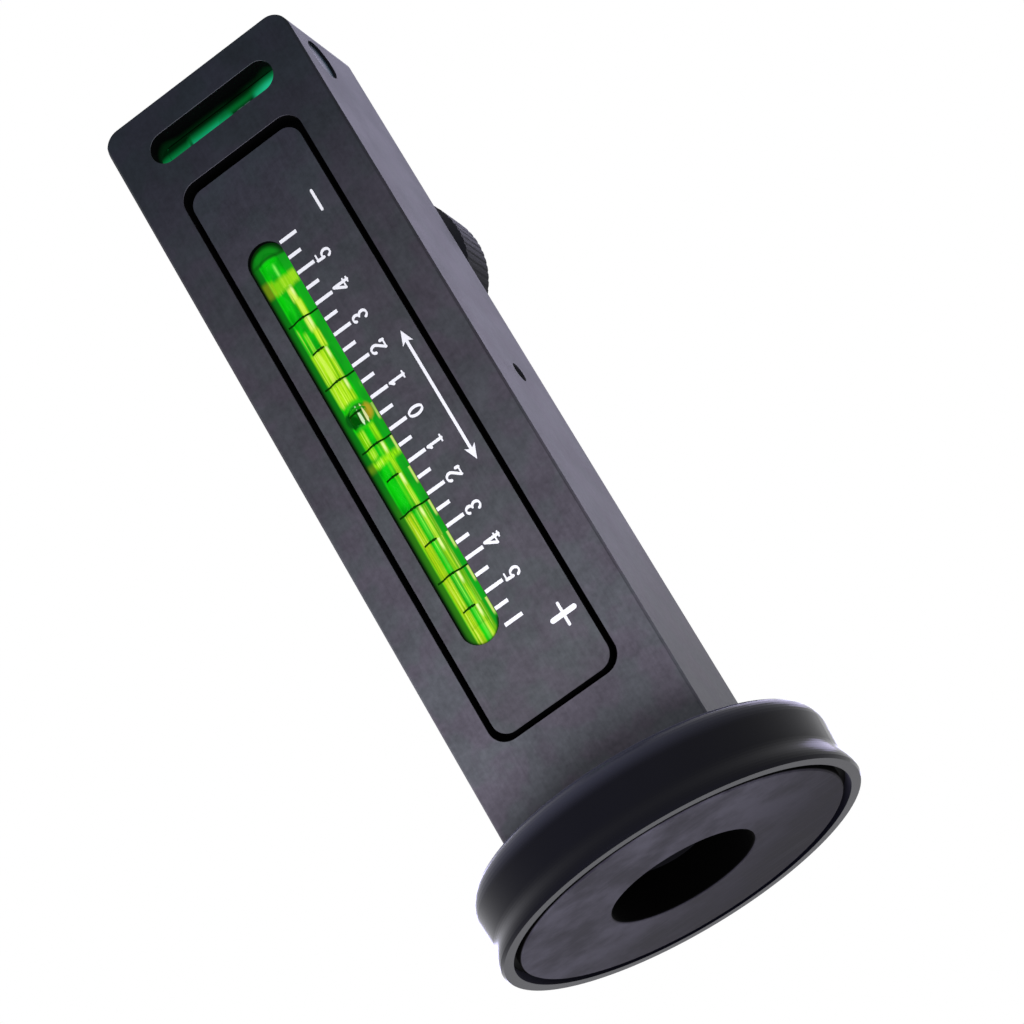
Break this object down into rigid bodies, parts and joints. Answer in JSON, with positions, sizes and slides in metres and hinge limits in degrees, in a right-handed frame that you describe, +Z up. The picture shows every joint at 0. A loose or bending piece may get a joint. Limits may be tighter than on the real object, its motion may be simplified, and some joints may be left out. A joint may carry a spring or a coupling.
{
  "type": "camber caster gauge",
  "caption": "Magnetic wheel alignment gauge: a milled bar with a camber vial, an adjustable caster vial, a cross vial and a round magnet base.",
  "frame": {"origin": "centre of the ring magnet's flat face, which the gauge stands on", "axes": "+Z up along the bar, from the magnet to the sight slot; -Y out of the camber face; +Y out of the caster face"},
  "size_m": [0.0534, 0.0534, 0.1342],
  "materials": {
    "black_anodised_bar": "black anodised over a fine brushed grain",
    "black_anodised_plate": "black anodised, printed white",
    "clear_acrylic": "clear moulded acrylic",
    "green_liquid": "bright green vial liquid",
    "teal_liquid": "green vial liquid seen in shade",
    "black_moulding": "moulded black plastic",
    "bright_steel": "turned steel",
    "black_steel": "black oxide",
    "knob_aluminium": "black anodised, fluted grip",
    "gloss_black_cup": "gloss black enamel on pressed steel",
    "ground_ferrite": "ground ferrite",
    "black_glue": "black epoxy"
  },
  "bodies": {
    "gauge": {"body": "black_anodised_bar", "camber_plate": "black_anodised_plate", "camber_vial": "clear_acrylic", "camber_liquid": "green_liquid", "camber_plugs": "clear_acrylic", "camber_bead": "clear_acrylic", "caster_plate": "black_anodised_plate", "pivot_pin": "bright_steel", "pivot_screw": "black_steel", "cross_vial": "clear_acrylic", "cross_liquid": "teal_liquid", "cross_plugs": "clear_acrylic", "side_plug": "black_anodised_bar", "base_cup": "gloss_black_cup", "ring_magnet": "ground_ferrite", "magnet_glue": "black_glue", "base_screw": "black_steel", "lock_washer": "bright_steel", "flat_washer": "bright_steel"},
    "caster_cradle": {"carrier": "black_moulding", "caster_vial": "clear_acrylic", "caster_liquid": "green_liquid", "caster_plugs": "clear_acrylic"},
    "screw_ring": {"retaining_ring": "bright_steel"},
    "adjuster": {"knob": "knob_aluminium", "adjusting_screw": "bright_steel"}
  },
  "joints": [
    {"name": "knob_turn", "type": "hinge", "parent": "screw_ring", "child": "adjuster", "pos_m": [0.0052, 0.0122, 0.1018], "axis": [0, -1, 0], "range_deg": [-641, 641]},
    {"name": "screw_travel", "type": "slide", "parent": "gauge", "child": "screw_ring", "axis": [0, -1, 0], "range_m": [-0.00124, 0.00124]},
    {"name": "carrier_tilt", "type": "hinge", "parent": "gauge", "child": "caster_cradle", "pos_m": [0, 0.0005, 0.0722], "axis": [1, 0, 0], "range_deg": [-2.45, 2.45]}
  ],
  "couplings": [
    {"joint": "knob_turn", "follows": "screw_travel", "rad_per_m": 8976},
    {"joint": "carrier_tilt", "follows": "screw_travel", "rad_per_m": 33.784}
  ]
}
